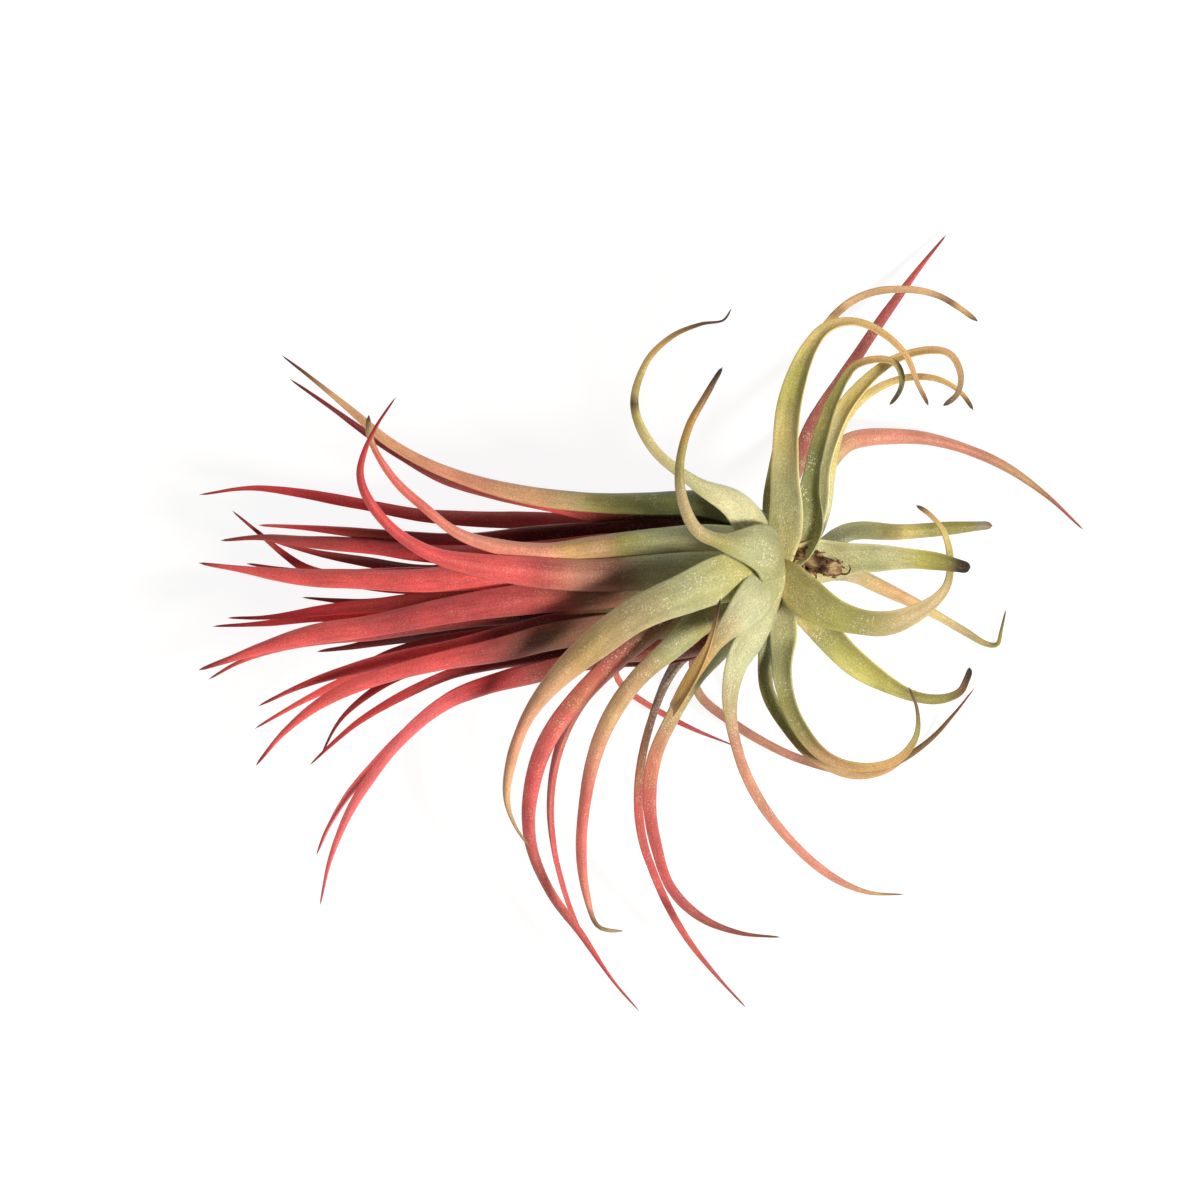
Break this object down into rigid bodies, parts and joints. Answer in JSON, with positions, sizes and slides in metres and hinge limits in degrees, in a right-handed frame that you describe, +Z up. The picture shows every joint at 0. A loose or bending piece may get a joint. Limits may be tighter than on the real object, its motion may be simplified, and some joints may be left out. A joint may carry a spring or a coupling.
{
  "type": "rubra tillandsia ionantha",
  "caption": "Bare air plant lying on its side: a tuft of slender red crown leaves and curled, silver-scaled old green leaves round a dry root stub.",
  "frame": {"origin": "on the surface that the plant lies on, under the middle of its bounding box", "axes": "+X from the red crown towards the root stub, +Y across the plant, +Z up, away from the surface"},
  "size_m": [0.116, 0.102, 0.0643],
  "materials": {
    "green_leaf": "matt living leaf, grey-green and covered with silver scales",
    "tan_leaf": "matt ageing leaf, green at the sheath and tan further out",
    "red_leaf": "matt coral red crown leaf with fine silver scales",
    "stem_wood": "fibrous, woody stem",
    "dry_root": "dry, brown and papery"
  },
  "bodies": {
    "root": {"stem": "stem_wood", "root_stub": "dry_root", "outer_leaf_01": "green_leaf", "outer_leaf_02": "green_leaf", "outer_leaf_03": "tan_leaf", "outer_leaf_04": "green_leaf", "outer_leaf_05": "green_leaf", "outer_leaf_06": "tan_leaf", "outer_leaf_07": "tan_leaf", "outer_leaf_08": "red_leaf", "outer_leaf_09": "red_leaf", "outer_leaf_10": "green_leaf", "outer_leaf_11": "green_leaf", "outer_leaf_12": "green_leaf", "outer_leaf_13": "green_leaf", "outer_leaf_14": "green_leaf", "outer_leaf_15": "green_leaf", "outer_leaf_16": "green_leaf", "outer_leaf_17": "green_leaf", "outer_leaf_18": "tan_leaf", "outer_leaf_19": "tan_leaf", "outer_leaf_20": "red_leaf", "outer_leaf_21": "tan_leaf", "outer_leaf_22": "green_leaf", "outer_leaf_23": "red_leaf", "outer_leaf_24": "red_leaf", "outer_leaf_25": "red_leaf", "outer_leaf_26": "red_leaf", "crown_leaf_01": "tan_leaf", "crown_leaf_02": "red_leaf", "crown_leaf_03": "red_leaf", "crown_leaf_04": "tan_leaf", "crown_leaf_05": "red_leaf", "crown_leaf_06": "red_leaf", "crown_leaf_07": "red_leaf", "crown_leaf_08": "red_leaf", "crown_leaf_09": "red_leaf", "crown_leaf_10": "red_leaf", "crown_leaf_11": "red_leaf", "crown_leaf_12": "red_leaf", "crown_leaf_13": "red_leaf", "crown_leaf_14": "red_leaf", "crown_leaf_15": "red_leaf", "crown_leaf_16": "red_leaf", "crown_leaf_17": "red_leaf", "crown_leaf_18": "red_leaf", "crown_leaf_19": "red_leaf", "crown_leaf_20": "red_leaf", "crown_leaf_21": "red_leaf", "crown_leaf_22": "red_leaf", "crown_leaf_23": "red_leaf", "crown_leaf_24": "red_leaf", "crown_leaf_25": "red_leaf", "under_leaf_01": "red_leaf", "under_leaf_02": "red_leaf", "under_leaf_03": "red_leaf", "under_leaf_04": "green_leaf", "under_leaf_05": "green_leaf", "under_leaf_06": "green_leaf"}
  },
  "joints": []
}
